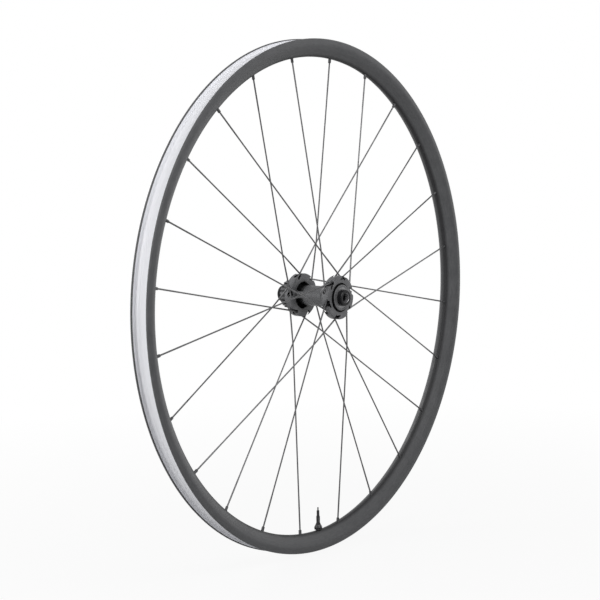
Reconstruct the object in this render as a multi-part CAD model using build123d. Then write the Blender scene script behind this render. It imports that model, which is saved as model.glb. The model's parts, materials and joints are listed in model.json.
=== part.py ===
from build123d import *
from math import acos, cos, pi, radians, sin, sqrt, tan
import os

# Front wheel of a bicycle with a hub for a disc brake, in millimetres.
# +X is forward, +Y is the left side, which carries the brake, and +Z is up. The axle lies along Y
# and the valve is at the bottom.
# The origin is the wheel's centre. A profile's points are (radius from the axle, place along Y).

# Rim section, moulded in one piece with a hollow inside
bead_seat_radius = 311.0
lip_height = 6.0
lip_thickness = 3.5
lip_round = 1.2
rim_width = 28.0
rim_depth = 22.2
waist_depth = 13.0
waist_width = 22.4
waist_round = 8.0
bed_half_width = 1.9
bed_round = 2.5
bed_offset = -2.4
shoulder_rise = 3.4
shoulder_reach = 8.8
well_depth = 3.5
well_half_width = 4.4
well_slope_width = 1.9
well_offset = -1.0
floor_wall = 1.6
side_wall = 1.8
bed_wall = 3.0

# Tape that seals the rim's channel and climbs the lips' inner walls
tape_thickness = 0.4
tape_bed_gap = 0.05
tape_side_height = 4.7

# Spokes and nipples
spoke_count = 24
first_spoke_angle = 7.5
spoke_end_radius = 1.0
spoke_middle_radius = 0.9
spoke_butt_length = 40.0
spoke_taper_length = 15.0
crossing_gap = 0.1
right_crossing_shift = -1.2
left_crossing_shift = -0.4
bend_radius = 60.0
bend_margin = 5.0
spoke_head_radius = 1.9
spoke_head_length = 2.2
nipple_head_radius = 2.7
nipple_head_height = 3.0
nipple_shank_radius = 1.9
nipple_shank_length = 7.8
nipple_round_length = 3.2
nipple_flats = 3.2
nipple_hole_gap = 0.2
nipple_seat_depth = 0.4
nipple_bore_gap = 0.05
access_hole_radius = 4.0
spoke_tip_inset = 0.8

# Hub shell
over_locknut_width = 100.0
right_flange_set_in = 3.7
left_flange_set_in = 10.0
flange_radius = 26.9
flange_thickness = 9.6
flange_edge_round = 0.9
spoke_edge_distance = 5.4
spoke_stagger = 2.0
spoke_hole_gap = 0.15
head_set_back = 2.0
head_hole_gap = 0.2
notch_half_width = 1.8
notch_length = 7.5
boss_wall = 3.0
boss_recess = 1.0
face_groove_width = 2.0
face_groove_depth = 3.5
shell_radius = 12.6
shell_wall = 2.3
right_flare_radius = 18.0
right_flare_length = 12.5
left_flare_radius = 16.0
left_flare_length = 7.5
flare_round = 4.0
window_count = 3
window_first_angle = 112.0
window_span = 64.0
window_width = 5.4
window_radius = 14.3
window_depth = 6.0
neck_radius = 15.8
rotor_seat_radius = 20.5
rotor_seat_thickness = 1.8
spline_root_radius = 16.4
spline_tooth_height = 1.1
spline_teeth = 20
spline_length = 10.2
spline_slot_share = 0.5
lockring_bore_radius = 15.0
lockring_bore_depth = 6.3

# Two sealed ball bearings
bearing_bore_radius = 8.5
bearing_outer_radius = 13.0
bearing_width = 5.0
right_bearing_inset = 9.5
left_bearing_inset = 20.0
ball_radius = 1.25
ball_count = 14
ball_gap = 0.04
race_groove_depth = 0.5
race_ledge = 1.2
race_relief = 0.8
cage_half_thickness = 0.45
cage_side_wall = 0.4
cage_pocket_gap = 0.08
seal_thickness = 0.45
seal_inset = 0.05
seal_step = 0.35
seal_lip_gap = 0.08
press_gap = 0.01

# Axle tube, end caps with their rings, and dust rings
axle_inner_radius = 7.55
axle_shoulder_radius = 9.4
axle_end_reach = 1.5
through_bore_radius = 6.05
cap_radius = 10.0
cap_sleeve_length = 14.0
cap_sleeve_gap = 0.03
cap_end_gap = 0.2
cap_lip_gap = 0.1
cap_head_gap = 1.4
cap_edge = 0.8
bore_edge = 0.5
ring_section_radius = 0.5
ring_groove_gap = 0.04
ring_from_sleeve_end = 4.0
dust_ring_gap = 0.3
dust_ring_thickness = 0.6

# Valve
valve_stem_radius = 2.9
valve_stem_height = 17.0
valve_end_radius = 2.5
valve_end_length = 8.6
valve_bore_radius = 1.6
valve_hole_gap = 0.25
valve_base_radius = 4.2
valve_base_top_radius = 3.5
valve_base_height = 3.6
valve_seat_gap = 0.1
lock_nut_radius = 5.0
lock_nut_height = 7.0
lock_nut_cone = 3.0
lock_nut_top_radius = 3.7
lock_nut_gap = 0.05
o_ring_section_radius = 0.75
core_gap = 0.05
core_depth = 9.0
core_head_radius = 1.8
core_head_height = 2.4
pin_radius = 0.8
pin_gap = 0.08
pin_height = 28.5
tip_nut_radius = 1.7
tip_nut_height = 5.0
tip_nut_gap = 0.1

# Sizes that follow from the ones above
rim_outer_radius = bead_seat_radius + lip_height
bed_radius = rim_outer_radius - rim_depth
waist_radius = rim_outer_radius - waist_depth
channel_half_width = rim_width / 2 - lip_thickness
well_radius = bead_seat_radius - well_depth
nipple_seat_radius = bed_radius + bed_wall - nipple_seat_depth
right_bearing_y = right_bearing_inset - over_locknut_width / 2
left_bearing_y = over_locknut_width / 2 - left_bearing_inset
right_flange_y = right_bearing_y + right_flange_set_in
left_flange_y = left_bearing_y - left_flange_set_in
spoke_tangent_radius = flange_radius - spoke_edge_distance
ball_pitch_radius = (bearing_bore_radius + bearing_outer_radius) / 2
groove_radius = ball_radius + ball_gap
inner_race_radius = ball_pitch_radius - groove_radius + race_groove_depth
outer_race_radius = ball_pitch_radius + groove_radius - race_groove_depth
boss_radius = bearing_outer_radius + boss_wall
flange_exit = sqrt(flange_radius**2 - spoke_tangent_radius**2)
spoke_hole_radius = spoke_end_radius + spoke_hole_gap
head_hole_radius = spoke_head_radius + head_hole_gap
cut_margin = 3.0
cut_overlap = 1.0


def rounded_face(corners):
    # A closed outline of (radius, y, rounding) corners
    face = make_face(Polyline(*[(r, y) for r, y, _ in corners], close=True))
    for r, y, rounding in corners:
        if rounding > 0:
            corner = face.vertices().sort_by_distance((r, y))[0]
            face = fillet(corner, rounding)
    return face


def turned(points):
    # A solid turned about the axle from (radius, y) points
    return revolve(make_face(Polyline(*points, close=True)), Axis.Y)


def turned_ring(inner, outer, low, high):
    return turned([(inner, low), (outer, low), (outer, high), (inner, high)])


def upright(points, height, y=0.0):
    # A solid turned about a vertical line at x = 0, from (radius, rise above height) points
    outline = make_face(Plane.XZ * Polyline(*points, close=True))
    return Pos(0, y, height) * revolve(outline, Axis.Z)


def along(frame, radius, start, end):
    # A round bar along a frame's own Z
    return frame * Pos(0, 0, (start + end) / 2) * Cylinder(radius, end - start)


class SpokeLine:
    # One spoke's path: straight from its foot beside the axle to a slight bend where it is woven with
    # another spoke of its flange, then straight to its seat in the rim
    def __init__(self, index):
        self.right = index % 2 == 0
        self.leading = index % 4 < 2
        angle = radians(first_spoke_angle + index * 360 / spoke_count)
        lace_angle = acos(spoke_tangent_radius / nipple_seat_radius)
        turn = -1 if self.leading else 1
        foot_angle = angle + turn * lace_angle
        outward = -1 if self.right else 1
        side = outward if self.leading else -outward
        self.opens = side
        flange_y = right_flange_y if self.right else left_flange_y
        shift = right_crossing_shift if self.right else left_crossing_shift
        foot_x = spoke_tangent_radius * cos(foot_angle)
        foot_z = spoke_tangent_radius * sin(foot_angle)
        foot = Vector(foot_x, flange_y + side * spoke_stagger, foot_z)
        seat = Vector(nipple_seat_radius * cos(angle), bed_offset, nipple_seat_radius * sin(angle))
        reach = spoke_tangent_radius * tan(lace_angle - radians(360 / spoke_count))
        share = reach / sqrt(nipple_seat_radius**2 - spoke_tangent_radius**2)
        middle_y = flange_y + share * (bed_offset - flange_y) + shift
        bend_y = middle_y - side * (spoke_middle_radius + crossing_gap / 2)
        self.bend = Vector(foot_x + share * (seat.X - foot_x), bend_y, foot_z + share * (seat.Z - foot_z))
        self.bend_distance = (self.bend - foot).length
        hub_way = (self.bend - foot).normalized()
        rim_way = (seat - self.bend).normalized()
        self.foot = Plane(origin=foot, x_dir=Vector(0, 1, 0).cross(hub_way), z_dir=hub_way)
        self.seat = Plane(origin=seat, x_dir=Vector(0, 1, 0).cross(rim_way), z_dir=rim_way)


spoke_lines = [SpokeLine(index) for index in range(spoke_count)]


def channel_points(lift, half_width):
    # The tyre channel's floor across the rim, raised by lift
    return [
        (bead_seat_radius + lift, half_width),
        (bead_seat_radius + lift, well_offset + well_half_width + well_slope_width),
        (well_radius + lift, well_offset + well_half_width),
        (well_radius + lift, well_offset - well_half_width),
        (bead_seat_radius + lift, well_offset - well_half_width - well_slope_width),
        (bead_seat_radius + lift, -half_width),
    ]


def make_rim():
    half = rim_width / 2
    waist = waist_width / 2
    outline = [
        (rim_outer_radius, -channel_half_width, lip_round),
        (rim_outer_radius, -half, lip_round),
        (bead_seat_radius, -half, waist_round),
        (waist_radius, -waist, waist_round),
        (bed_radius, bed_offset - bed_half_width, bed_round),
        (bed_radius, bed_offset + bed_half_width, bed_round),
        (bed_radius + shoulder_rise, bed_offset + shoulder_reach, waist_round),
        (waist_radius, waist, waist_round),
        (bead_seat_radius, half, waist_round),
        (rim_outer_radius, half, lip_round),
        (rim_outer_radius, channel_half_width, lip_round),
    ]
    outline += [(r, y, 0) for r, y in channel_points(0, channel_half_width)]
    ceiling = bead_seat_radius - floor_wall
    well_ceiling = well_radius - floor_wall
    floor = bed_radius + bed_wall
    inner_waist = waist - side_wall
    taper = (half - waist) / (waist_depth - lip_height)
    inner_corner = half - side_wall - floor_wall * taper
    slope_shift = floor_wall / 3
    hollow = [
        (ceiling, inner_corner),
        (ceiling, well_offset + well_half_width + well_slope_width + slope_shift),
        (well_ceiling, well_offset + well_half_width + slope_shift),
        (well_ceiling, well_offset - well_half_width - slope_shift),
        (ceiling, well_offset - well_half_width - well_slope_width - slope_shift),
        (ceiling, -inner_corner),
        (waist_radius, -inner_waist),
        (floor, bed_offset - bed_half_width),
        (floor, bed_offset + bed_half_width),
        (floor + shoulder_rise, bed_offset + shoulder_reach - side_wall),
        (waist_radius, inner_waist),
    ]
    rim = revolve(rounded_face(outline), Axis.Y) - turned(hollow)
    top = bead_seat_radius - nipple_seat_radius
    access_start = well_ceiling - nipple_seat_radius - cut_overlap
    hole = nipple_shank_radius + nipple_hole_gap
    cutters = []
    for line in spoke_lines:
        cutters.append(along(line.seat, hole, -bed_wall - cut_margin, cut_margin))
        cutters.append(along(line.seat, nipple_head_radius + nipple_hole_gap, 0, nipple_head_height))
        cutters.append(along(line.seat, access_hole_radius, access_start, top))
    valve_hole = Cylinder(valve_stem_radius + valve_hole_gap, rim_depth + cut_margin)
    cutters.append(Pos(0, well_offset, -(bed_radius + bead_seat_radius) / 2) * valve_hole)
    return rim - cutters


def tape_points(lift, edge):
    # The channel's floor with the lower part of both lips
    top = bead_seat_radius + tape_side_height
    return [(top, edge), *channel_points(lift, edge), (top, -edge)]


def make_rim_tape():
    edge = channel_half_width - tape_bed_gap
    below = tape_points(tape_bed_gap, edge)
    above = tape_points(tape_bed_gap + tape_thickness, edge - tape_thickness)
    hole = Cylinder(valve_stem_radius + valve_hole_gap, 2 * cut_margin + well_depth)
    return turned(below + above[::-1]) - Pos(0, well_offset, -well_radius) * hole


def make_spoke(line):
    thin_start = line.bend_distance - bend_margin
    tip = nipple_head_height - spoke_tip_inset
    thin_end = tip - spoke_butt_length - spoke_taper_length
    hub_end = [
        (0, -head_set_back - spoke_head_length),
        (spoke_head_radius, -head_set_back - spoke_head_length),
        (spoke_head_radius, -head_set_back),
        (spoke_end_radius, -head_set_back),
        (spoke_end_radius, thin_start - spoke_taper_length),
        (spoke_middle_radius, thin_start),
        (0, thin_start),
    ]
    rim_end = [
        (0, thin_end),
        (spoke_middle_radius, thin_end),
        (spoke_end_radius, thin_end + spoke_taper_length),
        (spoke_end_radius, tip),
        (0, tip),
    ]
    start = line.foot * Pos(0, 0, thin_start)
    end = line.seat * Pos(0, 0, thin_end)
    path = FilletPolyline(start.position, line.bend, end.position, radius=bend_radius)
    middle = sweep(start * Circle(spoke_middle_radius), path=path)
    return line.foot * upright(hub_end, 0) + middle + line.seat * upright(rim_end, 0)


def make_nipple(line):
    body = Pos(0, 0, nipple_head_height / 2) * Cylinder(nipple_head_radius, nipple_head_height)
    body += along(Plane.XY, nipple_shank_radius, -nipple_round_length, 0)
    grip_length = nipple_shank_length - nipple_round_length
    grip = Box(nipple_flats, nipple_flats, grip_length) & Cylinder(nipple_shank_radius, grip_length)
    body += Pos(0, 0, -nipple_round_length - grip_length / 2) * grip
    bore = along(Plane.XY, spoke_end_radius + nipple_bore_gap, -nipple_shank_length, nipple_head_height)
    return line.seat * (body - bore)


def spoke_socket(line):
    # The stepped hole for one spoke in its flange, and the open notch where the spoke leaves
    end = flange_exit + cut_margin
    notch_start = flange_exit - notch_length
    length = end - notch_start
    notch_box = Box(2 * notch_half_width, flange_thickness, length)
    notch_place = Pos(0, line.opens * flange_thickness / 2, (notch_start + end) / 2)
    return [
        along(line.foot, spoke_hole_radius, -head_set_back - cut_overlap, end),
        along(line.foot, head_hole_radius, -end, -head_set_back),
        along(line.foot, notch_half_width, notch_start, end),
        line.foot * notch_place * notch_box,
    ]


def flange_window(angle):
    # A curved pocket in the left flange's inner face, with round ends
    face_y = left_flange_y - flange_thickness / 2
    low = face_y - left_flare_length
    high = face_y + window_depth
    inner = window_radius - window_width / 2
    outer = window_radius + window_width / 2
    section = make_face(Polyline((inner, low), (outer, low), (outer, high), (inner, high), close=True))
    pocket = Rot(0, window_span / 2, 0) * revolve(section, Axis.Y, revolution_arc=-window_span)
    end = Rot(90, 0, 0) * Cylinder(window_width / 2, high - low)
    for side in (-1, 1):
        place = Rot(0, side * window_span / 2, 0) * Pos(window_radius, (low + high) / 2, 0)
        pocket += place * end
    return Rot(0, -angle, 0) * pocket


def make_hub_shell():
    half = flange_thickness / 2
    right_out = right_flange_y - half
    right_in = right_flange_y + half
    left_in = left_flange_y - half
    left_out = left_flange_y + half
    right_race_out = right_bearing_y - bearing_width / 2
    right_race_in = right_bearing_y + bearing_width / 2
    left_race_in = left_bearing_y - bearing_width / 2
    left_race_out = left_bearing_y + bearing_width / 2
    boss_face = right_race_out - boss_recess
    groove_floor = right_out + face_groove_depth
    rotor_seat = left_race_in + rotor_seat_thickness
    spline_end = rotor_seat + spline_length
    spline_tip = spline_root_radius + spline_tooth_height
    lockring_floor = spline_end - lockring_bore_depth
    cavity = shell_radius - shell_wall
    ledge = bearing_outer_radius - race_ledge
    edge = flange_edge_round
    outline = [
        (bearing_outer_radius, boss_face, 0),
        (boss_radius, boss_face, edge),
        (boss_radius, groove_floor, 0),
        (boss_radius + face_groove_width, groove_floor, 0),
        (boss_radius + face_groove_width, right_out, 0),
        (flange_radius, right_out, edge),
        (flange_radius, right_in, edge),
        (right_flare_radius, right_in, 0),
        (shell_radius, right_in + right_flare_length, flare_round),
        (shell_radius, left_in - left_flare_length, flare_round),
        (left_flare_radius, left_in, 0),
        (flange_radius, left_in, edge),
        (flange_radius, left_out, edge),
        (neck_radius, left_out, 0),
        (neck_radius, left_race_in, 0),
        (rotor_seat_radius, left_race_in, 0),
        (rotor_seat_radius, rotor_seat, 0),
        (spline_tip, rotor_seat, 0),
        (spline_tip, spline_end, 0),
        (lockring_bore_radius, spline_end, 0),
        (lockring_bore_radius, lockring_floor, 0),
        (bearing_outer_radius, lockring_floor, 0),
        (bearing_outer_radius, left_race_in, 0),
        (ledge, left_race_in, 0),
        (ledge, left_race_in - race_relief, 0),
        (cavity, left_race_in - race_relief, 0),
        (cavity, right_race_in + race_relief, 0),
        (ledge, right_race_in + race_relief, 0),
        (ledge, right_race_in, 0),
        (bearing_outer_radius, right_race_in, 0),
    ]
    shell = revolve(rounded_face(outline), Axis.Y)
    cutters = []
    for line in spoke_lines:
        cutters += spoke_socket(line)
    for number in range(window_count):
        cutters.append(flange_window(window_first_angle + number * 360 / window_count))
    slot_width = spline_slot_share * 2 * pi * spline_tip / spline_teeth
    slot = Box(2 * spline_tooth_height, spline_length, slot_width)
    slot_place = Pos(spline_tip, rotor_seat + spline_length / 2, 0)
    for number in range(spline_teeth):
        cutters.append(Rot(0, number * 360 / spline_teeth, 0) * slot_place * slot)
    return shell - cutters


def make_axle():
    right_in = right_bearing_y + bearing_width / 2
    left_in = left_bearing_y - bearing_width / 2
    right_end = right_bearing_y - bearing_width / 2 - axle_end_reach
    left_end = left_bearing_y + bearing_width / 2 + axle_end_reach
    seat = bearing_bore_radius - press_gap
    return turned([
        (axle_inner_radius, right_end),
        (seat, right_end),
        (seat, right_in),
        (axle_shoulder_radius, right_in),
        (axle_shoulder_radius, left_in),
        (seat, left_in),
        (seat, left_end),
        (axle_inner_radius, left_end),
    ])


def cap_ring_place(side, race_face):
    # Where the ring that holds an end cap in the axle lies along Y
    sleeve_end = race_face + side * (axle_end_reach - cap_sleeve_length)
    return sleeve_end + side * ring_from_sleeve_end


def make_end_cap(side, race_face):
    # An end cap pushed into the axle: side is -1 or 1, race_face the bearing's outer face
    tip = side * over_locknut_width / 2
    axle_end = race_face + side * axle_end_reach
    socket = axle_end + side * cap_end_gap
    sleeve_end = axle_end - side * cap_sleeve_length
    sleeve = axle_inner_radius - cap_sleeve_gap
    head = race_face + side * cap_head_gap
    ring_y = cap_ring_place(side, race_face)
    groove_half = ring_section_radius + ring_groove_gap
    groove = axle_inner_radius - 2 * ring_section_radius - 2 * ring_groove_gap
    points = [
        (through_bore_radius, tip - side * bore_edge),
        (through_bore_radius + bore_edge, tip),
        (cap_radius - cap_edge, tip),
        (cap_radius, tip - side * cap_edge),
        (cap_radius, head),
        (axle_shoulder_radius, head),
        (axle_shoulder_radius, race_face),
        (bearing_bore_radius + cap_lip_gap, race_face),
        (bearing_bore_radius + cap_lip_gap, socket),
        (sleeve, socket),
        (sleeve, ring_y + side * groove_half),
        (groove, ring_y + side * groove_half),
        (groove, ring_y - side * groove_half),
        (sleeve, ring_y - side * groove_half),
        (sleeve, sleeve_end),
        (through_bore_radius, sleeve_end),
    ]
    return turned(points)


def make_dust_ring(side, race_face):
    # A thin ring pressed into the hub's mouth that hides the bearing
    inside = race_face + side * dust_ring_gap
    outside = inside + side * dust_ring_thickness
    outer = bearing_outer_radius - press_gap
    return turned_ring(cap_radius + dust_ring_gap, outer, min(inside, outside), max(inside, outside))


def make_cap_ring(side, race_face):
    major = axle_inner_radius - ring_groove_gap - ring_section_radius
    circle = Pos(major, cap_ring_place(side, race_face)) * Circle(ring_section_radius)
    return revolve(circle, Axis.Y)


def ball_track(middle):
    circle = Pos(ball_pitch_radius, middle) * Circle(groove_radius)
    return revolve(circle, Axis.Y)


def make_inner_race(middle):
    half = bearing_width / 2
    race = turned_ring(bearing_bore_radius, inner_race_radius, middle - half, middle + half)
    return race - ball_track(middle)


def make_outer_race(middle):
    half = bearing_width / 2
    step = half - seal_thickness - seal_inset
    outer = bearing_outer_radius - press_gap
    wide = outer_race_radius + seal_step
    race = turned([
        (outer, middle - half),
        (outer, middle + half),
        (wide, middle + half),
        (wide, middle + step),
        (outer_race_radius, middle + step),
        (outer_race_radius, middle - step),
        (wide, middle - step),
        (wide, middle - half),
    ])
    return race - ball_track(middle)


def make_seal(middle, side):
    inside = middle + side * (bearing_width / 2 - seal_thickness - seal_inset)
    outside = inside + side * seal_thickness
    wide = outer_race_radius + seal_step - press_gap
    return turned_ring(inner_race_radius + seal_lip_gap, wide, min(inside, outside), max(inside, outside))


def ball_places(middle):
    return [
        Rot(0, number * 360 / ball_count, 0) * Pos(ball_pitch_radius, middle, 0)
        for number in range(ball_count)
    ]


def make_balls(middle):
    return [place * Sphere(ball_radius) for place in ball_places(middle)]


def make_cage(middle):
    pocket_radius = ball_radius + cage_pocket_gap
    half = pocket_radius + cage_side_wall
    inner = ball_pitch_radius - cage_half_thickness
    outer = ball_pitch_radius + cage_half_thickness
    cage = turned_ring(inner, outer, middle - half, middle + half)
    pocket = Rot(0, 90, 0) * Cylinder(pocket_radius, 4 * cage_half_thickness)
    return cage - [place * pocket for place in ball_places(middle)]


def make_valve():
    # The valve stands on the tape at the bottom of the rim and points up at the hub
    bed = -bed_radius
    floor = -(well_radius + tape_bed_gap + tape_thickness + valve_seat_gap) - bed
    foot = floor - valve_base_height
    top = valve_stem_height
    stem = [
        (valve_bore_radius, foot),
        (valve_stem_radius, foot),
        (valve_stem_radius, top - valve_end_length),
        (valve_end_radius, top - valve_end_length),
        (valve_end_radius, top),
        (valve_bore_radius, top),
    ]
    sleeve = valve_stem_radius + press_gap
    base = [(sleeve, foot), (valve_base_top_radius, foot), (valve_base_radius, floor), (sleeve, floor)]
    ring_low = valve_seat_gap
    ring_high = ring_low + 2 * o_ring_section_radius
    thread = valve_stem_radius + lock_nut_gap
    ring_major = thread + o_ring_section_radius + valve_seat_gap
    recess = ring_major + o_ring_section_radius + valve_seat_gap
    nut_low = ring_low + o_ring_section_radius
    nut_high = nut_low + lock_nut_height
    nut = [
        (recess, nut_low),
        (lock_nut_radius, nut_low),
        (lock_nut_radius, nut_high - lock_nut_cone),
        (lock_nut_top_radius, nut_high),
        (thread, nut_high),
        (thread, ring_high + press_gap),
        (recess, ring_high + press_gap),
    ]
    pin_bore = pin_radius + pin_gap
    core_foot = top - core_depth
    core_top = top + core_head_height
    core_side = valve_bore_radius - core_gap
    core = [
        (pin_bore, core_foot),
        (core_side, core_foot),
        (core_side, top),
        (core_head_radius, top),
        (core_head_radius, core_top),
        (pin_bore, core_top),
    ]
    pin = [(0, core_foot), (pin_radius, core_foot), (pin_radius, pin_height), (0, pin_height)]
    tip_low = core_top + tip_nut_gap
    tip_high = tip_low + tip_nut_height
    tip = [(pin_bore, tip_low), (tip_nut_radius, tip_low), (tip_nut_radius, tip_high), (pin_bore, tip_high)]
    profiles = {
        "valve_stem": stem,
        "valve_base": base,
        "valve_lock_nut": nut,
        "valve_core": core,
        "valve_pin": pin,
        "valve_tip_nut": tip,
    }
    pieces = {name: upright(points, bed, well_offset) for name, points in profiles.items()}
    ring = Torus(ring_major, o_ring_section_radius)
    pieces["valve_o_ring"] = Pos(0, well_offset, bed + ring_low + o_ring_section_radius) * ring
    return pieces


def write(name, shape):
    solids = shape if isinstance(shape, list) else [shape]
    body = solids[0] if len(solids) == 1 else Compound(children=solids)
    export_step(body, f"parts/{name}.step")


os.makedirs("parts", exist_ok=True)
write("rim", make_rim())
write("rim_tape", make_rim_tape())
for number, line in enumerate(spoke_lines):
    write(f"spoke_{number + 1:02d}", make_spoke(line))
write("nipples", [make_nipple(line) for line in spoke_lines])
write("hub_shell", make_hub_shell())
write("axle", make_axle())

for name, side, middle in (("right", -1, right_bearing_y), ("left", 1, left_bearing_y)):
    race_face = middle + side * bearing_width / 2
    write(f"{name}_end_cap", make_end_cap(side, race_face))
    write(f"{name}_cap_ring", make_cap_ring(side, race_face))
    write(f"{name}_dust_ring", make_dust_ring(side, race_face))
    write(f"{name}_bearing_inner_race", make_inner_race(middle))
    write(f"{name}_bearing_outer_race", make_outer_race(middle))
    write(f"{name}_bearing_balls", make_balls(middle))
    write(f"{name}_bearing_cage", make_cage(middle))
    write(f"{name}_bearing_outer_seal", make_seal(middle, side))
    write(f"{name}_bearing_inner_seal", make_seal(middle, -side))

for name, piece in make_valve().items():
    write(name, piece)
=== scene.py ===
import json
from math import acos, atan2, cos, pi, radians, sin, sqrt, tan
import bpy
from mathutils import Matrix, Vector

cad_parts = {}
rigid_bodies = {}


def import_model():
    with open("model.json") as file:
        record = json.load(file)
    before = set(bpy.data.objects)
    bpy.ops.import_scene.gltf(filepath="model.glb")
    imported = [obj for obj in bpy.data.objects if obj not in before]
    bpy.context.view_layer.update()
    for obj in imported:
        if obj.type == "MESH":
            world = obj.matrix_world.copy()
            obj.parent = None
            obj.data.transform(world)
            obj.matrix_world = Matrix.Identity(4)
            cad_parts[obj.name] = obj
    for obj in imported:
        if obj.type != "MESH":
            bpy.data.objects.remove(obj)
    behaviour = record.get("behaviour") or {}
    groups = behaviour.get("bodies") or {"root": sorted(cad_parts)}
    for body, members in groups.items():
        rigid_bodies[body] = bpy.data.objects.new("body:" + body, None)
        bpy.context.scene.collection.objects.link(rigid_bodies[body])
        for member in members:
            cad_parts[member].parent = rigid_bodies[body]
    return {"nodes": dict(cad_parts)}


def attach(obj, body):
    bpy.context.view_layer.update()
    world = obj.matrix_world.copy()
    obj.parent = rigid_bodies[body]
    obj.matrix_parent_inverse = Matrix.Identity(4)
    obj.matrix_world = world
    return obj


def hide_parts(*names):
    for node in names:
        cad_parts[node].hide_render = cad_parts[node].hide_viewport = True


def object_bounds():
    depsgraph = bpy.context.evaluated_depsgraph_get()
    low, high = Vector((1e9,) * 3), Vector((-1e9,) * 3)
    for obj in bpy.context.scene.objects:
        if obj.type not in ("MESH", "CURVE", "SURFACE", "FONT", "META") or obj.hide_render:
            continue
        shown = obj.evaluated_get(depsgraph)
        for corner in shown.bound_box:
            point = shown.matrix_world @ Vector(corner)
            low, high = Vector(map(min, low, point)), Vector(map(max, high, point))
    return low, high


# Front wheel of a bicycle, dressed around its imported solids. Sizes are in millimetres, the scene is in metres.
# The axle lies along Y, the brake side is +Y, and the valve is at the bottom.

for old in list(bpy.data.objects):
    bpy.data.objects.remove(old)
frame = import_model()
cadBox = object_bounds()
cadNodes = frame["nodes"]
mm = 0.001
mergeDistance = 0.000002
print("frame loaded,", len(cadNodes), "nodes")


# Small helpers for node trees and meshes

def addNode(tree, kind, settings=None, sockets=None):
    node = tree.nodes.new(kind)
    for key, value in (settings or {}).items():
        setattr(node, key, value)
    for key, value in (sockets or {}).items():
        if isinstance(value, bpy.types.NodeSocket):
            tree.links.new(value, node.inputs[key])
        else:
            node.inputs[key].default_value = value
    return node


def mathNode(tree, operation, first, second=0.0):
    return addNode(tree, "ShaderNodeMath", {"operation": operation}, {0: first, 1: second}).outputs[0]


def polarSpot(tree):
    # A point's X, Y and Z, its distance from the Y axis, and the way out from that axis
    spot = addNode(tree, "GeometryNodeInputPosition").outputs[0]
    parts = addNode(tree, "ShaderNodeSeparateXYZ", None, {0: spot}).outputs
    flat = addNode(tree, "ShaderNodeCombineXYZ", None, {0: parts[0], 2: parts[2]}).outputs[0]
    radius = addNode(tree, "ShaderNodeVectorMath", {"operation": "LENGTH"}, {0: flat}).outputs["Value"]
    outward = addNode(tree, "ShaderNodeVectorMath", {"operation": "NORMALIZE"}, {0: flat}).outputs[0]
    return parts, radius, outward


def movedOut(tree, geometry, outward, amount):
    offset = addNode(tree, "ShaderNodeVectorMath", {"operation": "SCALE"}, {0: outward, "Scale": amount}).outputs[0]
    return addNode(tree, "GeometryNodeSetPosition", None, {"Geometry": geometry, "Offset": offset}).outputs[0]


def newTree(name, inputs):
    tree = bpy.data.node_groups.new(name, "GeometryNodeTree")
    tree.interface.new_socket("Geometry", in_out="INPUT", socket_type="NodeSocketGeometry")
    for label, kind in inputs:
        tree.interface.new_socket(label, in_out="INPUT", socket_type="NodeSocket" + kind)
    tree.interface.new_socket("Geometry", in_out="OUTPUT", socket_type="NodeSocketGeometry")
    return tree, addNode(tree, "NodeGroupInput").outputs


def endTree(tree, geometry, finish):
    real = addNode(tree, "GeometryNodeRealizeInstances", None, {"Geometry": geometry})
    painted = addNode(tree, "GeometryNodeSetMaterial", None, {"Geometry": real.outputs[0], "Material": finish})
    addNode(tree, "NodeGroupOutput", None, {"Geometry": painted.outputs[0]})
    return tree


def newPiece(name, points, attributes=None, edges=(), faces=()):
    mesh = bpy.data.meshes.new(name)
    mesh.from_pydata(points, edges, faces)
    for label, values in (attributes or {}).items():
        layer = mesh.attributes.new(label, "FLOAT_VECTOR", "POINT")
        layer.data.foreach_set("vector", [x for value in values for x in value])
    piece = bpy.data.objects.new(name, mesh)
    bpy.context.scene.collection.objects.link(piece)
    return piece


def runTree(piece, tree, values, sharpAngle=30):
    # Runs one tree on the piece and keeps the result as a plain mesh
    modifier = piece.modifiers.new(tree.name, "NODES")
    modifier.node_group = tree
    for item in tree.interface.items_tree:
        if item.in_out == "INPUT" and item.name in values:
            modifier[item.identifier] = values[item.name]
    bpy.context.view_layer.update()
    evaluated = piece.evaluated_get(bpy.context.evaluated_depsgraph_get())
    mesh = bpy.data.meshes.new_from_object(evaluated)
    piece.modifiers.clear()
    piece.data = mesh
    mesh.shade_smooth()
    mesh.set_sharp_from_angle(angle=radians(sharpAngle))
    return piece


def faceOutwards(piece):
    mesh = piece.data
    mesh.calc_loop_triangles()
    spots = [vertex.co for vertex in mesh.vertices]
    corners = [triangle.vertices for triangle in mesh.loop_triangles]
    if sum(spots[a].dot(spots[b].cross(spots[c])) for a, b, c in corners) < 0:
        mesh.flip_normals()
    return piece


def dress(piece, body, slot, *stoodFor):
    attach(piece, body)
    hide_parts(*stoodFor)


def roundedOutline(corners, steps=5):
    # Corners are (radius, place, rounding), and each rounding becomes a true arc
    points = []
    for number, (r, y, rounding) in enumerate(corners):
        here = Vector((r, y))
        if rounding == 0:
            points.append(here)
            continue
        before = (Vector(corners[number - 1][:2]) - here).normalized()
        after = (Vector(corners[(number + 1) % len(corners)][:2]) - here).normalized()
        half = before.angle(after) / 2
        centre = here + (before + after).normalized() * rounding / sin(half)
        start = here + before * rounding / tan(half) - centre
        end = here + after * rounding / tan(half) - centre
        first = atan2(start.y, start.x)
        sweep = (atan2(end.y, end.x) - first + pi) % (2 * pi) - pi
        for step in range(steps + 1):
            angle = first + sweep * step / steps
            points.append(centre + Vector((cos(angle), sin(angle))) * rounding)
    return points


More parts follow.
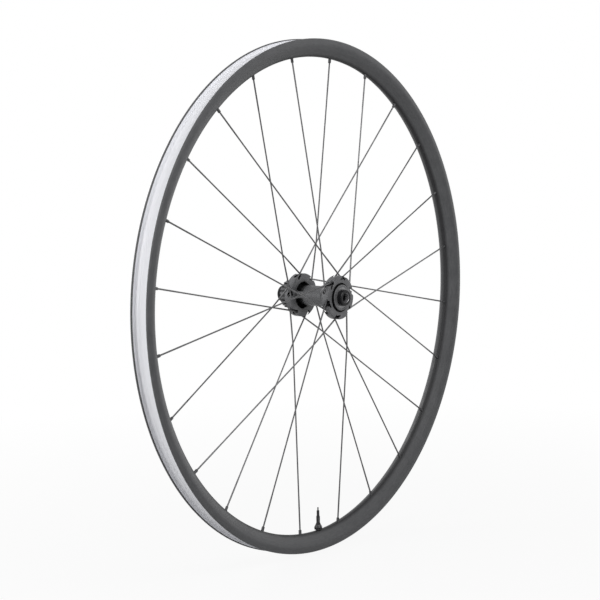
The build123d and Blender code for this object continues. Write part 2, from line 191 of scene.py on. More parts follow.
def makeTurnTree():
    # Turns the piece's points, (radius, place, 0), about the Y axis
    tree, given = newTree("turnProfile", [("Count", "Int"), ("Segments", "Int"), ("Finish", "Material")])
    columns = mathNode(tree, "ADD", given["Segments"], 1.0)
    grid = addNode(tree, "GeometryNodeMeshGrid", None, {"Vertices X": columns, "Vertices Y": given["Count"]})
    uvStore = {"data_type": "FLOAT2", "domain": "CORNER"}
    mapped = addNode(tree, "GeometryNodeStoreNamedAttribute", uvStore,
                     {"Geometry": grid.outputs["Mesh"], "Name": "UVMap", "Value": grid.outputs["UV Map"]})
    index = addNode(tree, "GeometryNodeInputIndex").outputs[0]
    row = mathNode(tree, "MODULO", index, given["Count"])
    column = mathNode(tree, "FLOOR", mathNode(tree, "DIVIDE", index, given["Count"]))
    turn = mathNode(tree, "MULTIPLY", mathNode(tree, "DIVIDE", column, given["Segments"]), 2 * pi)
    place = addNode(tree, "GeometryNodeInputPosition").outputs[0]
    picked = addNode(tree, "GeometryNodeSampleIndex", {"data_type": "FLOAT_VECTOR", "domain": "POINT"},
                     {"Geometry": given["Geometry"], "Value": place, "Index": row})
    turned = addNode(tree, "ShaderNodeVectorRotate", {"rotation_type": "Y_AXIS"},
                     {"Vector": picked.outputs[0], "Angle": turn})
    moved = addNode(tree, "GeometryNodeSetPosition", None,
                    {"Geometry": mapped.outputs[0], "Position": turned.outputs[0]})
    closed = addNode(tree, "GeometryNodeMergeByDistance", None,
                     {"Geometry": moved.outputs[0], "Distance": mergeDistance})
    return endTree(tree, closed.outputs[0], given["Finish"])


turnTree = makeTurnTree()


def turnedPiece(name, profile, segments, finish, sharpAngle=30):
    piece = newPiece(name, [(r * mm, y * mm, 0) for r, y in profile])
    runTree(piece, turnTree, {"Count": len(profile), "Segments": segments, "Finish": finish}, sharpAngle)
    return faceOutwards(piece)


def closedLoop(points):
    return [*points, points[0]]


def makeRidgeTree():
    # Cuts ridges into a piece turned about Y: a screw thread, or a straight knurl where the slant is zero
    tree, given = newTree("cutRidges", [("Starts", "Int"), ("Slant", "Float"), ("Depth", "Float"), ("From", "Float"),
                                        ("To", "Float"), ("Least Radius", "Float"), ("Finish", "Material")])
    parts, radius, outward = polarSpot(tree)
    turns = mathNode(tree, "DIVIDE", mathNode(tree, "ARCTAN2", parts[0], parts[2]), 2 * pi)
    phase = mathNode(tree, "ADD", mathNode(tree, "MULTIPLY", turns, given["Starts"]),
                     mathNode(tree, "MULTIPLY", parts[1], given["Slant"]))
    wave = mathNode(tree, "PINGPONG", phase, 0.5)
    within = mathNode(tree, "MULTIPLY", mathNode(tree, "GREATER_THAN", parts[1], given["From"]),
                      mathNode(tree, "LESS_THAN", parts[1], given["To"]))
    outside = mathNode(tree, "GREATER_THAN", radius, given["Least Radius"])
    depth = mathNode(tree, "MULTIPLY", mathNode(tree, "MULTIPLY", within, outside),
                     mathNode(tree, "MULTIPLY", wave, given["Depth"]))
    ridged = movedOut(tree, given["Geometry"], outward, mathNode(tree, "MULTIPLY", depth, -2.0))
    return endTree(tree, ridged, given["Finish"])


ridgeTree = makeRidgeTree()


def stretched(points, longest):
    # More points along the longer runs of an outline
    found = []
    for start, end in zip(points, points[1:]):
        start, end = Vector(start), Vector(end)
        steps = max(1, round((end - start).length / longest))
        found += [start.lerp(end, step / steps) for step in range(steps)]
    return [*found, Vector(points[-1])]


# Finishes

def newFinish(name, colour, roughness, metallic=0.0, specular=0.5):
    finish = bpy.data.materials.new(name)
    finish.use_nodes = True
    tree = finish.node_tree
    shader = tree.nodes["Principled BSDF"]
    shader.inputs["Base Color"].default_value = (*colour, 1)
    shader.inputs["Roughness"].default_value = roughness
    shader.inputs["Metallic"].default_value = metallic
    shader.inputs["Specular IOR Level"].default_value = specular
    return finish, tree, shader


def objectSpot(tree):
    return addNode(tree, "ShaderNodeTexCoord").outputs["Object"]


def wheelSpot(tree, arcRadius):
    # (arc length, radius, place along the axle), with the seam at the valve
    parts = addNode(tree, "ShaderNodeSeparateXYZ", None, {0: objectSpot(tree)}).outputs
    angle = mathNode(tree, "ARCTAN2", parts[0], parts[2])
    squares = mathNode(tree, "ADD", mathNode(tree, "MULTIPLY", parts[0], parts[0]),
                       mathNode(tree, "MULTIPLY", parts[2], parts[2]))
    radius = mathNode(tree, "SQRT", squares)
    arc = mathNode(tree, "MULTIPLY", angle, arcRadius)
    return addNode(tree, "ShaderNodeCombineXYZ", None, {0: arc, 1: radius, 2: parts[1]}).outputs[0]


def mapped(tree, vector, scale, rotation=(0, 0, 0)):
    return addNode(tree, "ShaderNodeMapping", None,
                   {"Vector": vector, "Scale": scale, "Rotation": rotation}).outputs[0]


def noise(tree, vector, scale, detail=4.0, rough=0.55):
    return addNode(tree, "ShaderNodeTexNoise", None,
                   {"Vector": vector, "Scale": scale, "Detail": detail, "Roughness": rough}).outputs[0]


def spread(tree, value, fromLow, fromHigh, low, high):
    return addNode(tree, "ShaderNodeMapRange", None,
                   {"Value": value, 1: fromLow, 2: fromHigh, 3: low, 4: high}).outputs[0]


def blended(tree, share, first, second):
    mix = addNode(tree, "ShaderNodeMix", {"data_type": "RGBA"}, {"Factor": share})
    for socket, value in ((mix.inputs[6], first), (mix.inputs[7], second)):
        if isinstance(value, bpy.types.NodeSocket):
            tree.links.new(value, socket)
        else:
            socket.default_value = (*value, 1)
    return mix.outputs[2]


def bumped(tree, shader, height, strength, distance):
    bump = addNode(tree, "ShaderNodeBump", None, {"Height": height, "Strength": strength, "Distance": distance})
    tree.links.new(bump.outputs[0], shader.inputs["Normal"])


def feed(tree, shader, label, socket):
    tree.links.new(socket, shader.inputs[label])


def makeRimFinish():
    # Moulded fibre composite under a matt coat: slanted fibre streaks in patches of cloth
    finish, tree, shader = newFinish("rimComposite", (0.088, 0.089, 0.093), 0.5, specular=0.18)
    spot = wheelSpot(tree, 0.305)
    patches = addNode(tree, "ShaderNodeTexVoronoi", {"feature": "F1"},
                      {"Vector": mapped(tree, spot, (14, 45, 45)), "Scale": 1.0}).outputs["Color"]
    patchTone = addNode(tree, "ShaderNodeSeparateXYZ", None, {0: patches}).outputs[0]
    leaning = noise(tree, mapped(tree, spot, (120, 2600, 900), (0, 0, radians(32))), 1.0, 3.0, 0.6)
    crossing = noise(tree, mapped(tree, spot, (120, 2600, 900), (0, 0, radians(-32))), 1.0, 3.0, 0.6)
    side = mathNode(tree, "GREATER_THAN", patchTone, 0.5)
    fibres = addNode(tree, "ShaderNodeMix", {"data_type": "FLOAT"},
                     {"Factor": side, 2: leaning, 3: crossing}).outputs[0]
    mottle = noise(tree, spot, 60, 3.0)
    share = mathNode(tree, "ADD", spread(tree, fibres, 0.3, 0.7, 0.0, 0.6), spread(tree, mottle, 0.3, 0.7, 0.0, 0.4))
    coat = blended(tree, share, (0.062, 0.063, 0.066), (0.114, 0.115, 0.119))
    innerTone = blended(tree, share, (0.016, 0.016, 0.017), (0.032, 0.032, 0.034))
    # The bed between the spokes' holes is darker: the colour darkens below a set radius
    bedDarkTo, bedDarkFrom = 0.2955, 0.2985
    radius = addNode(tree, "ShaderNodeSeparateXYZ", None, {0: spot}).outputs[1]
    bedDarkShare = spread(tree, radius, bedDarkTo, bedDarkFrom, 1.0, 0.0)
    feed(tree, shader, "Base Color", blended(tree, bedDarkShare, coat, innerTone))
    feed(tree, shader, "Roughness", spread(tree, mottle, 0.3, 0.7, 0.46, 0.6))
    bumped(tree, shader, fibres, 0.12, 0.0002)
    return finish


def makeTapeFinish():
    # Smooth silvery film with faint lines along the rim and a few soft ripples
    finish, tree, shader = newFinish("tapeFilm", (0.78, 0.785, 0.82), 0.45, specular=0.25)
    spot = wheelSpot(tree, 0.309)
    lines = noise(tree, mapped(tree, spot, (6, 500, 1600)), 1.0, 3.0)
    ripples = noise(tree, mapped(tree, spot, (70, 60, 60)), 1.0, 2.0)
    feed(tree, shader, "Base Color", blended(tree, spread(tree, lines, 0.3, 0.7, 0, 1),
                                             (0.76, 0.765, 0.8), (0.82, 0.825, 0.85)))
    feed(tree, shader, "Roughness", spread(tree, ripples, 0.3, 0.7, 0.4, 0.5))
    bumped(tree, shader, mathNode(tree, "ADD", mathNode(tree, "MULTIPLY", lines, 0.15), ripples), 0.1, 0.0004)
    return finish


def makeSpokeFinish():
    # Dark drawn steel: fine lines along each spoke, from its own places around and along
    finish, tree, shader = newFinish("drawnSteel", (0.095, 0.095, 0.098), 0.36, metallic=0.6)
    around = addNode(tree, "ShaderNodeAttribute", {"attribute_name": "around"}).outputs["Vector"]
    along = addNode(tree, "ShaderNodeAttribute", {"attribute_name": "along"}).outputs["Fac"]
    sides = addNode(tree, "ShaderNodeSeparateXYZ", None, {0: around}).outputs
    drawn = addNode(tree, "ShaderNodeCombineXYZ", None, {0: sides[0], 1: sides[1], 2: along}).outputs[0]
    lines = noise(tree, mapped(tree, drawn, (7, 7, 60)), 1.0, 3.0)
    flecks = noise(tree, objectSpot(tree), 900, 2.0)
    feed(tree, shader, "Base Color", blended(tree, spread(tree, lines, 0.3, 0.7, 0, 1),
                                             (0.07, 0.07, 0.072), (0.12, 0.12, 0.123)))
    feed(tree, shader, "Roughness", spread(tree, flecks, 0.3, 0.7, 0.28, 0.42))
    bumped(tree, shader, lines, 0.1, 0.00005)
    return finish


def makeAnodised(name, dark, light, roughLow, roughHigh, grainScale, bumpStrength, rings=0.0, metallic=0.5,
                 specular=0.5, recess=0.0):
    # Coloured oxide on alloy: fine blasted grain, turning rings where they show, and painted shade in milled recesses
    finish, tree, shader = newFinish(name, light, roughHigh, metallic, specular)
    grain = noise(tree, objectSpot(tree), grainScale, 4.0, 0.6)
    cloud = noise(tree, objectSpot(tree), 90, 3.0)
    height = grain
    if rings:
        ringLines = noise(tree, mapped(tree, wheelSpot(tree, 0.01), (2, 2600, 2600)), 1.0, 2.0)
        height = mathNode(tree, "ADD", grain, mathNode(tree, "MULTIPLY", ringLines, rings))
    colour = blended(tree, spread(tree, cloud, 0.3, 0.7, 0, 1), dark, light)
    # Painted shade: the colour darkens to near black where ambient occlusion finds the surface closed in
    if recess:
        paintedShadeColour = [part / 12 for part in dark]
        shadeOcclusion = addNode(tree, "ShaderNodeAmbientOcclusion", {"samples": 16, "only_local": True},
                           {"Distance": recess}).outputs["AO"]
        colour = blended(tree, spread(tree, shadeOcclusion, 0.62, 0.97, 0, 1), paintedShadeColour, colour)
    feed(tree, shader, "Base Color", colour)
    feed(tree, shader, "Roughness", spread(tree, grain, 0.3, 0.7, roughLow, roughHigh))
    bumped(tree, shader, height, bumpStrength, 0.00006)
    return finish


def makeRubber():
    finish, tree, shader = newFinish("blackRubber", (0.02, 0.02, 0.02), 0.62, specular=0.35)
    grain = noise(tree, objectSpot(tree), 2200, 4.0)
    feed(tree, shader, "Base Color", blended(tree, grain, (0.012, 0.012, 0.012), (0.034, 0.034, 0.035)))
    feed(tree, shader, "Roughness", spread(tree, grain, 0.3, 0.7, 0.55, 0.72))
    bumped(tree, shader, grain, 0.25, 0.00008)
    return finish


def makeCapFinish():
    # Black gloss, with a bare turned wall at the bore's mouth
    finish, tree, shader = newFinish("capGloss", (0.01, 0.01, 0.011), 0.2, specular=0.15)
    spot = wheelSpot(tree, 0.01)
    boreWall, mouthFrom, mouthTo = 0.00625, 0.0435, 0.0475
    parts = addNode(tree, "ShaderNodeSeparateXYZ", None, {0: spot}).outputs
    depth = mathNode(tree, "ABSOLUTE", parts[2])
    bore = mathNode(tree, "MULTIPLY", mathNode(tree, "LESS_THAN", parts[1], boreWall),
                    spread(tree, depth, mouthFrom, mouthTo, 0.0, 1.0))
    rings = noise(tree, mapped(tree, spot, (2, 2600, 2600)), 1.0, 2.0)
    grain = noise(tree, objectSpot(tree), 2500, 4.0, 0.6)
    black = blended(tree, grain, (0.006, 0.006, 0.007), (0.014, 0.014, 0.016))
    innerTone = blended(tree, rings, (0.3, 0.3, 0.31), (0.4, 0.4, 0.41))
    feed(tree, shader, "Base Color", blended(tree, bore, black, innerTone))
    feed(tree, shader, "Metallic", mathNode(tree, "MULTIPLY", bore, 0.5))
    feed(tree, shader, "Roughness", spread(tree, grain, 0.3, 0.7, 0.16, 0.28))
    bumped(tree, shader, mathNode(tree, "ADD", grain, mathNode(tree, "MULTIPLY", rings, 0.6)), 0.06, 0.00006)
    return finish


rimFinish = makeRimFinish()
tapeFinish = makeTapeFinish()
spokeFinish = makeSpokeFinish()
nippleFinish = makeAnodised("nippleBlack", (0.035, 0.035, 0.037), (0.06, 0.06, 0.063), 0.3, 0.44, 3000, 0.15)
# The hub's finish paints shade into its milled pockets and notches
hubFinish = makeAnodised("hubSatin", (0.1, 0.101, 0.105), (0.145, 0.146, 0.151), 0.34, 0.48, 4200, 0.22,
                         rings=0.25, metallic=0.2, specular=0.2, recess=0.012)
ringFinish = makeAnodised("ringAlloy", (0.16, 0.16, 0.165), (0.23, 0.23, 0.235), 0.3, 0.42, 3600, 0.12,
                          rings=0.6, metallic=0.6)
capFinish = makeCapFinish()
axleFinish = makeAnodised("turnedAlloy", (0.5, 0.5, 0.51), (0.66, 0.66, 0.67), 0.24, 0.36, 3000, 0.1,
                          rings=0.8, metallic=1.0)
valveFinish = makeAnodised("valveBlack", (0.012, 0.012, 0.013), (0.028, 0.028, 0.03), 0.26, 0.4, 3600, 0.15)
steelFinish = makeAnodised("groundSteel", (0.52, 0.52, 0.53), (0.66, 0.66, 0.66), 0.16, 0.28, 2400, 0.06,
                           rings=0.5, metallic=1.0)
cageFinish = makeAnodised("cageNylon", (0.46, 0.42, 0.33), (0.6, 0.55, 0.44), 0.42, 0.56, 2600, 0.2, metallic=0.0)
rubberFinish = makeRubber()
print("finishes made")


# Spokes' lines, which the rim's holes, the spokes and the nipples all follow

spokeSizes = {
    "count": 24, "firstAngle": 7.5, "tangent": 21.5, "stagger": 2.0,
    "rightFlange": -36.8, "leftFlange": 20.0, "rightShift": -1.2, "leftShift": -0.4, "crossingGap": 0.1,
    "seat": 297.4, "seatY": -2.4, "bendRadius": 60.0, "bendMargin": 5.0, "endRadius": 1.0, "middleRadius": 0.9,
    "butt": 40.0, "taper": 15.0, "headRadius": 1.9, "headLength": 2.2, "headBack": 2.0, "tipPast": 2.2, "around": 16,
}


def spokeLines():
    # Each spoke's foot beside the axle, the bend where it crosses its partner, and its seat in the rim
    s = spokeSizes
    found = []
    lace = acos(s["tangent"] / s["seat"])
    share = s["tangent"] * tan(lace - 2 * pi / s["count"]) / sqrt(s["seat"]**2 - s["tangent"]**2)
    for number in range(s["count"]):
        right = number % 2 == 0
        leading = number % 4 < 2
        angle = radians(s["firstAngle"] + number * 360 / s["count"])
        footAngle = angle + (-lace if leading else lace)
        side = -1 if right == leading else 1
        flange, shift = (s["rightFlange"], s["rightShift"]) if right else (s["leftFlange"], s["leftShift"])
        foot = Vector((s["tangent"] * cos(footAngle), flange + side * s["stagger"], s["tangent"] * sin(footAngle)))
        seat = Vector((s["seat"] * cos(angle), s["seatY"], s["seat"] * sin(angle)))
        bend = foot.lerp(seat, share)
        bend.y = flange + share * (s["seatY"] - flange) + shift - side * (s["middleRadius"] + s["crossingGap"] / 2)
        found.append((foot, bend, seat))
    return found


lines = spokeLines()
aims = [(seat - bend).normalized() for foot, bend, seat in lines]


# Rim: the moulded section turned about the axle, then drilled

rimSizes = {
    "outer": 317.0, "beadSeat": 311.0, "halfWidth": 14.0, "widest": 309.5, "halfChannel": 10.5,
    "halfLip": 13.2, "lipRound": 1.6, "lipInside": 0.8,
    "waist": 304.0, "halfWaist": 11.2, "waistRound": 8.0,
    "bed": 294.8, "bedHalf": 1.9, "bedMiddle": -2.4, "bedRound": 2.5,
    "shoulderRise": 3.4, "shoulderReach": 8.8,
    "well": 307.5, "wellHalf": 4.4, "wellSlope": 1.9, "wellMiddle": -1.0, "wellRound": 2.8,
    "segments": 480, "nippleHole": 2.1, "nippleHoleDepth": 9.0, "nippleHoleBack": 1.5,
    "valveHole": 3.15, "valveHoleDepth": 40.0, "channelCorner": 0.6,
}


def channelPoints(lift, halfWidth):
    s = rimSizes
    near = s["wellMiddle"] - s["wellHalf"]
    far = s["wellMiddle"] + s["wellHalf"]
    return [
        (s["beadSeat"] + lift, halfWidth), (s["beadSeat"] + lift, far + s["wellSlope"]),
        (s["well"] + lift, far), (s["well"] + lift, near),
        (s["beadSeat"] + lift, near - s["wellSlope"]), (s["beadSeat"] + lift, -halfWidth),
    ]


def rimOutline():
    s = rimSizes
    corners = [
        (s["outer"], -s["halfChannel"], s["lipInside"]), (s["outer"], -s["halfLip"], s["lipRound"]),
        (s["widest"], -s["halfWidth"], s["waistRound"]), (s["waist"], -s["halfWaist"], s["waistRound"]),
        (s["bed"], s["bedMiddle"] - s["bedHalf"], s["bedRound"]),
        (s["bed"], s["bedMiddle"] + s["bedHalf"], s["bedRound"]),
        (s["bed"] + s["shoulderRise"], s["bedMiddle"] + s["shoulderReach"], s["waistRound"]),
        (s["waist"], s["halfWaist"], s["waistRound"]), (s["widest"], s["halfWidth"], s["waistRound"]),
        (s["outer"], s["halfLip"], s["lipRound"]), (s["outer"], s["halfChannel"], s["lipInside"]),
    ]
    floor = channelPoints(0, s["halfChannel"])
    for number, (r, y) in enumerate(floor):
        corners.append((r, y, s["wellRound"] if 0 < number < 5 else s["channelCorner"]))
    return closedLoop(roundedOutline(corners))


def makeDrillTree():
    # Cuts one round hole along each point's aim
    tree, given = newTree("drillHoles", [("Places", "Object"), ("Radius", "Float"), ("Depth", "Float"),
                                         ("Finish", "Material")])
    places = addNode(tree, "GeometryNodeObjectInfo", None, {"Object": given["Places"]})
    aim = addNode(tree, "GeometryNodeInputNamedAttribute", {"data_type": "FLOAT_VECTOR"}, {"Name": "aim"})
    turn = addNode(tree, "FunctionNodeAlignRotationToVector", {"axis": "Z"}, {"Vector": aim.outputs[0]})
    drill = addNode(tree, "GeometryNodeMeshCylinder", None,
                    {"Vertices": 32, "Radius": given["Radius"], "Depth": given["Depth"]})
    drills = addNode(tree, "GeometryNodeInstanceOnPoints", None,
                     {"Points": places.outputs["Geometry"], "Instance": drill.outputs["Mesh"],
                      "Rotation": turn.outputs[0]})
    real = addNode(tree, "GeometryNodeRealizeInstances", None, {"Geometry": drills.outputs[0]})
    cut = addNode(tree, "GeometryNodeMeshBoolean", {"operation": "DIFFERENCE", "solver": "EXACT"},
                  {"Mesh 1": given["Geometry"], "Mesh 2": real.outputs[0]})
    return endTree(tree, cut.outputs["Mesh"], given["Finish"])


drillTree = makeDrillTree()


def drilled(piece, places, ways, radius, depth, finish, sharpAngle=30):
    drills = newPiece("drillPlaces", [place * mm for place in places], {"aim": ways})
    runTree(piece, drillTree, {"Places": drills, "Radius": radius * mm, "Depth": depth * mm, "Finish": finish},
            sharpAngle)
    bpy.data.objects.remove(drills)


valvePlace = Vector((0, rimSizes["wellMiddle"], -rimSizes["bed"]))
valveWay = Vector((0, 0, 1))


def makeRim():
    s = rimSizes
    rim = turnedPiece("rimSkin", rimOutline(), s["segments"], rimFinish)
    through = [seat - s["nippleHoleBack"] * way for (foot, bend, seat), way in zip(lines, aims)]
    drilled(rim, through, aims, s["nippleHole"], s["nippleHoleDepth"], rimFinish)
    drilled(rim, [valvePlace], [valveWay], s["valveHole"], s["valveHoleDepth"], rimFinish)
    dress(rim, "wheel", "rim_composite", "rim")


makeRim()
print("rim made")


# Tape in the channel and up the lips, drawn tight across the well

tapeSizes = {"bedGap": 0.05, "thickness": 0.4, "sideHeight": 4.7, "footRound": 1.5, "edgeRound": 3.0,
             "longest": 1.2, "segments": 720, "sharpAngle": 50, "span": 0.72, "valveSeat": 2.6, "spanFrom": 7.0}


def makeSpanTree():
    # The film spans the well, and lies on its floor only at the valve's seat
    tree, given = newTree("spanWell", [("Seat", "Float"), ("Lift", "Float"), ("Near", "Float"), ("Far", "Float"),
                                       ("Finish", "Material")])
    parts, radius, outward = polarSpot(tree)
    sag = mathNode(tree, "MAXIMUM", mathNode(tree, "SUBTRACT", given["Seat"], radius), 0.0)
    below = mathNode(tree, "MULTIPLY", parts[2], -1.0)
    aside = mathNode(tree, "ABSOLUTE", mathNode(tree, "ARCTAN2", parts[0], below))
    lift = addNode(tree, "ShaderNodeMapRange", {"interpolation_type": "SMOOTHSTEP"},
                   {"Value": aside, 1: given["Near"], 2: given["Far"], 3: 0.0, 4: given["Lift"]}).outputs[0]
    spanned = movedOut(tree, given["Geometry"], outward, mathNode(tree, "MULTIPLY", sag, lift))
    return endTree(tree, spanned, given["Finish"])


def tapeRun(lift, half, footRound):
    t = tapeSizes
    top = rimSizes["beadSeat"] + t["sideHeight"]
    floor = channelPoints(lift, half)
    rounds = [footRound] + [t["edgeRound"]] * 4 + [footRound]
    corners = [(top, half, 0)] + [(r, y, rounding) for (r, y), rounding in zip(floor, rounds)] + [(top, -half, 0)]
    return stretched(roundedOutline(corners), t["longest"])


def makeTape():
    t = tapeSizes
    edge = rimSizes["halfChannel"] - t["bedGap"]
    below = tapeRun(t["bedGap"], edge, t["footRound"] + t["thickness"])
    above = tapeRun(t["bedGap"] + t["thickness"], edge - t["thickness"], t["footRound"])
    tape = turnedPiece("tapeSkin", closedLoop(below + above[::-1]), t["segments"], tapeFinish, t["sharpAngle"])
    runTree(tape, makeSpanTree(), {"Seat": (rimSizes["beadSeat"] + t["bedGap"]) * mm, "Lift": t["span"],
                                   "Near": radians(t["valveSeat"]), "Far": radians(t["spanFrom"]),
                                   "Finish": tapeFinish}, t["sharpAngle"])
    drilled(tape, [valvePlace], [valveWay], rimSizes["valveHole"], rimSizes["valveHoleDepth"], tapeFinish,
            t["sharpAngle"])
    dress(tape, "wheel", "tape", "rim_tape")


makeTape()
print("tape made")


# Spokes: a round bar swept along each line, thicker at its ends, with a straight head

def makeBarTree():
    tree, given = newTree("sweepBar", [("Around", "Int"), ("Finish", "Material")])
    path = addNode(tree, "GeometryNodeMeshToCurve", None, {"Mesh": given["Geometry"]})
    length = addNode(tree, "GeometryNodeSplineParameter").outputs["Length"]
    marked = addNode(tree, "GeometryNodeStoreNamedAttribute", {"data_type": "FLOAT", "domain": "POINT"},
                     {"Geometry": path.outputs[0], "Name": "along", "Value": length})
    ring = addNode(tree, "GeometryNodeCurvePrimitiveCircle", None, {"Resolution": given["Around"], "Radius": 1.0})
    spot = addNode(tree, "GeometryNodeInputPosition").outputs[0]
    section = addNode(tree, "GeometryNodeStoreNamedAttribute", {"data_type": "FLOAT_VECTOR", "domain": "POINT"},
                      {"Geometry": ring.outputs[0], "Name": "around", "Value": spot})
    thickness = addNode(tree, "GeometryNodeInputNamedAttribute", {"data_type": "FLOAT_VECTOR"}, {"Name": "thickness"})
    radius = addNode(tree, "ShaderNodeSeparateXYZ", None, {0: thickness.outputs[0]}).outputs[0]
    bar = addNode(tree, "GeometryNodeCurveToMesh", None,
                  {"Curve": marked.outputs[0], "Profile Curve": section.outputs[0], "Scale": radius,
                   "Fill Caps": True})
    return endTree(tree, bar.outputs[0], given["Finish"])


def eased(start, length, first, second, steps=6):
    # (place, radius) stations of a soft taper
    return [(start + length * step / steps, first + (second - first) * (1 - cos(pi * step / steps)) / 2)
            for step in range(steps + 1)]


def spokeStations(foot, bend, seat):
    # Points along one spoke with its radius at each
    s = spokeSizes
    hubWay = (bend - foot).normalized()
    rimWay = (seat - bend).normalized()
    head = s["headRadius"]
    back = -s["headBack"]
    hubEnd = [(back - s["headLength"], head - 0.5), (back - s["headLength"] + 0.15, head - 0.15),
              (back - s["headLength"] + 0.5, head), (back - 0.4, head), (back - 0.05, s["endRadius"] + 0.15),
              (back + 0.15, s["endRadius"])]
    thinStart = (bend - foot).length - s["bendMargin"]
    hubEnd += eased(thinStart - s["taper"], s["taper"], s["endRadius"], s["middleRadius"])
    thinEnd = s["tipPast"] - s["butt"] - s["taper"]
    rimEnd = eased(thinEnd, s["taper"], s["middleRadius"], s["endRadius"])
    rimEnd += [(s["tipPast"] - 0.3, s["endRadius"]), (s["tipPast"], s["endRadius"] - 0.3)]
    stations = [(foot + hubWay * place, radius) for place, radius in hubEnd]
    turn = hubWay.angle(rimWay)
    start = bend - hubWay * s["bendRadius"] * tan(turn / 2)
    across = (rimWay - hubWay * hubWay.dot(rimWay)).normalized()
    steps = 6
    for step in range(steps + 1):
        part = turn * step / steps
        arc = hubWay * sin(part) + across * (1 - cos(part))
        stations.append((start + arc * s["bendRadius"], s["middleRadius"]))
    return stations + [(seat + rimWay * place, radius) for place, radius in rimEnd]


barTree = makeBarTree()
for number, line in enumerate(lines):
    stations = spokeStations(*line)
    chain = [(step, step + 1) for step in range(len(stations) - 1)]
    spoke = newPiece(f"spokeBar{number + 1:02d}", [place * mm for place, radius in stations],
                     {"thickness": [(radius * mm, 0, 0) for place, radius in stations]}, chain)
    runTree(spoke, barTree, {"Around": spokeSizes["around"], "Finish": spokeFinish}, 40)
    faceOutwards(spoke)
    dress(spoke, "wheel", "spoke_steel", f"spoke_{number + 1:02d}")
print("spokes made")


# Nipples: one shape, set on every seat

nippleSizes = {"headRadius": 2.7, "headHeight": 3.0, "shank": 1.9, "length": 7.8, "roundLength": 3.2,
               "flats": 3.2, "bore": 1.05, "around": 32, "twistSeed": 7}


def makeNippleShape():
    # Rings of points from the head down the flats and back up the bore, around local Z
    n = nippleSizes
    half = n["flats"] / 2
    wide = 9.0  # no flats
    rings = [
        (n["bore"], n["headHeight"], wide), (n["headRadius"] - 0.6, n["headHeight"], wide),
        (n["headRadius"], n["headHeight"] - 0.6, wide), (n["headRadius"], 0.3, wide), (n["shank"], 0.0, wide),
        (n["shank"], -n["roundLength"], wide), (n["shank"] - 0.04, -n["roundLength"] - 0.35, half),
        (n["shank"] - 0.04, -n["length"] + 0.5, half), (n["shank"] - 0.22, -n["length"] + 0.16, half - 0.1),
        (n["shank"] - 0.5, -n["length"], half - 0.3), (n["bore"] + 0.12, -n["length"], half),
        (n["bore"], -n["length"] + 0.2, half), (n["bore"], n["headHeight"], wide),
    ]
    points, faces = [], []
    for radius, z, flat in rings:
        for step in range(n["around"]):
            angle = 2 * pi * (step + 0.5) / n["around"]
            reach = min(radius, flat / max(abs(cos(angle)), abs(sin(angle))))
            points.append((reach * cos(angle) * mm, reach * sin(angle) * mm, z * mm))
    for ring in range(len(rings) - 1):
        for step in range(n["around"]):
            after = (step + 1) % n["around"]
            a, b = ring * n["around"] + step, ring * n["around"] + after
            faces.append((a, b, b + n["around"], a + n["around"]))
    return newPiece("nippleShape", points, faces=faces)


def makeNippleTree():
    tree, given = newTree("setNipples", [("Shape", "Object"), ("Seed", "Int"), ("Finish", "Material")])
    shape = addNode(tree, "GeometryNodeObjectInfo", None, {"Object": given["Shape"]})
    aim = addNode(tree, "GeometryNodeInputNamedAttribute", {"data_type": "FLOAT_VECTOR"}, {"Name": "aim"})
    turn = addNode(tree, "FunctionNodeAlignRotationToVector", {"axis": "Z"}, {"Vector": aim.outputs[0]})
    twist = addNode(tree, "FunctionNodeRandomValue", {"data_type": "FLOAT"},
                    {2: 0.0, 3: pi / 2, "Seed": given["Seed"]})
    spin = addNode(tree, "FunctionNodeAxisAngleToRotation", None, {"Axis": (0, 0, 1), "Angle": twist.outputs[1]})
    both = addNode(tree, "FunctionNodeRotateRotation", {"rotation_space": "LOCAL"},
                   {0: turn.outputs[0], 1: spin.outputs[0]})
    copies = addNode(tree, "GeometryNodeInstanceOnPoints", None,
                     {"Points": given["Geometry"], "Instance": shape.outputs["Geometry"],
                      "Rotation": both.outputs[0]})
    real = addNode(tree, "GeometryNodeRealizeInstances", None, {"Geometry": copies.outputs[0]})
    merged = addNode(tree, "GeometryNodeMergeByDistance", None,
                     {"Geometry": real.outputs[0], "Distance": mergeDistance})
    return endTree(tree, merged.outputs[0], given["Finish"])


nippleShape = makeNippleShape()
nipples = newPiece("nippleSet", [seat * mm for foot, bend, seat in lines], {"aim": aims})
runTree(nipples, makeNippleTree(),
        {"Shape": nippleShape, "Seed": nippleSizes["twistSeed"], "Finish": nippleFinish}, 28)
faceOutwards(nipples)
bpy.data.objects.remove(nippleShape)
dress(nipples, "wheel", "nipple_alloy", "nipples")
print("nipples made")


# End caps with softened edges

capSizes = {"bore": 6.05, "radius": 10.0, "lip": 9.4, "socket": 8.6, "sleeve": 7.52, "groove": 6.47,
            "grooveHalf": 0.54, "face": 50.0, "edge": 0.8, "boreEdge": 0.5, "headGap": 1.4, "axleReach": 1.5,
            "endGap": 0.2, "sleeveLength": 14.0, "ringInset": 4.0, "rightRace": -43.0, "leftRace": 32.5,
            "segments": 128}


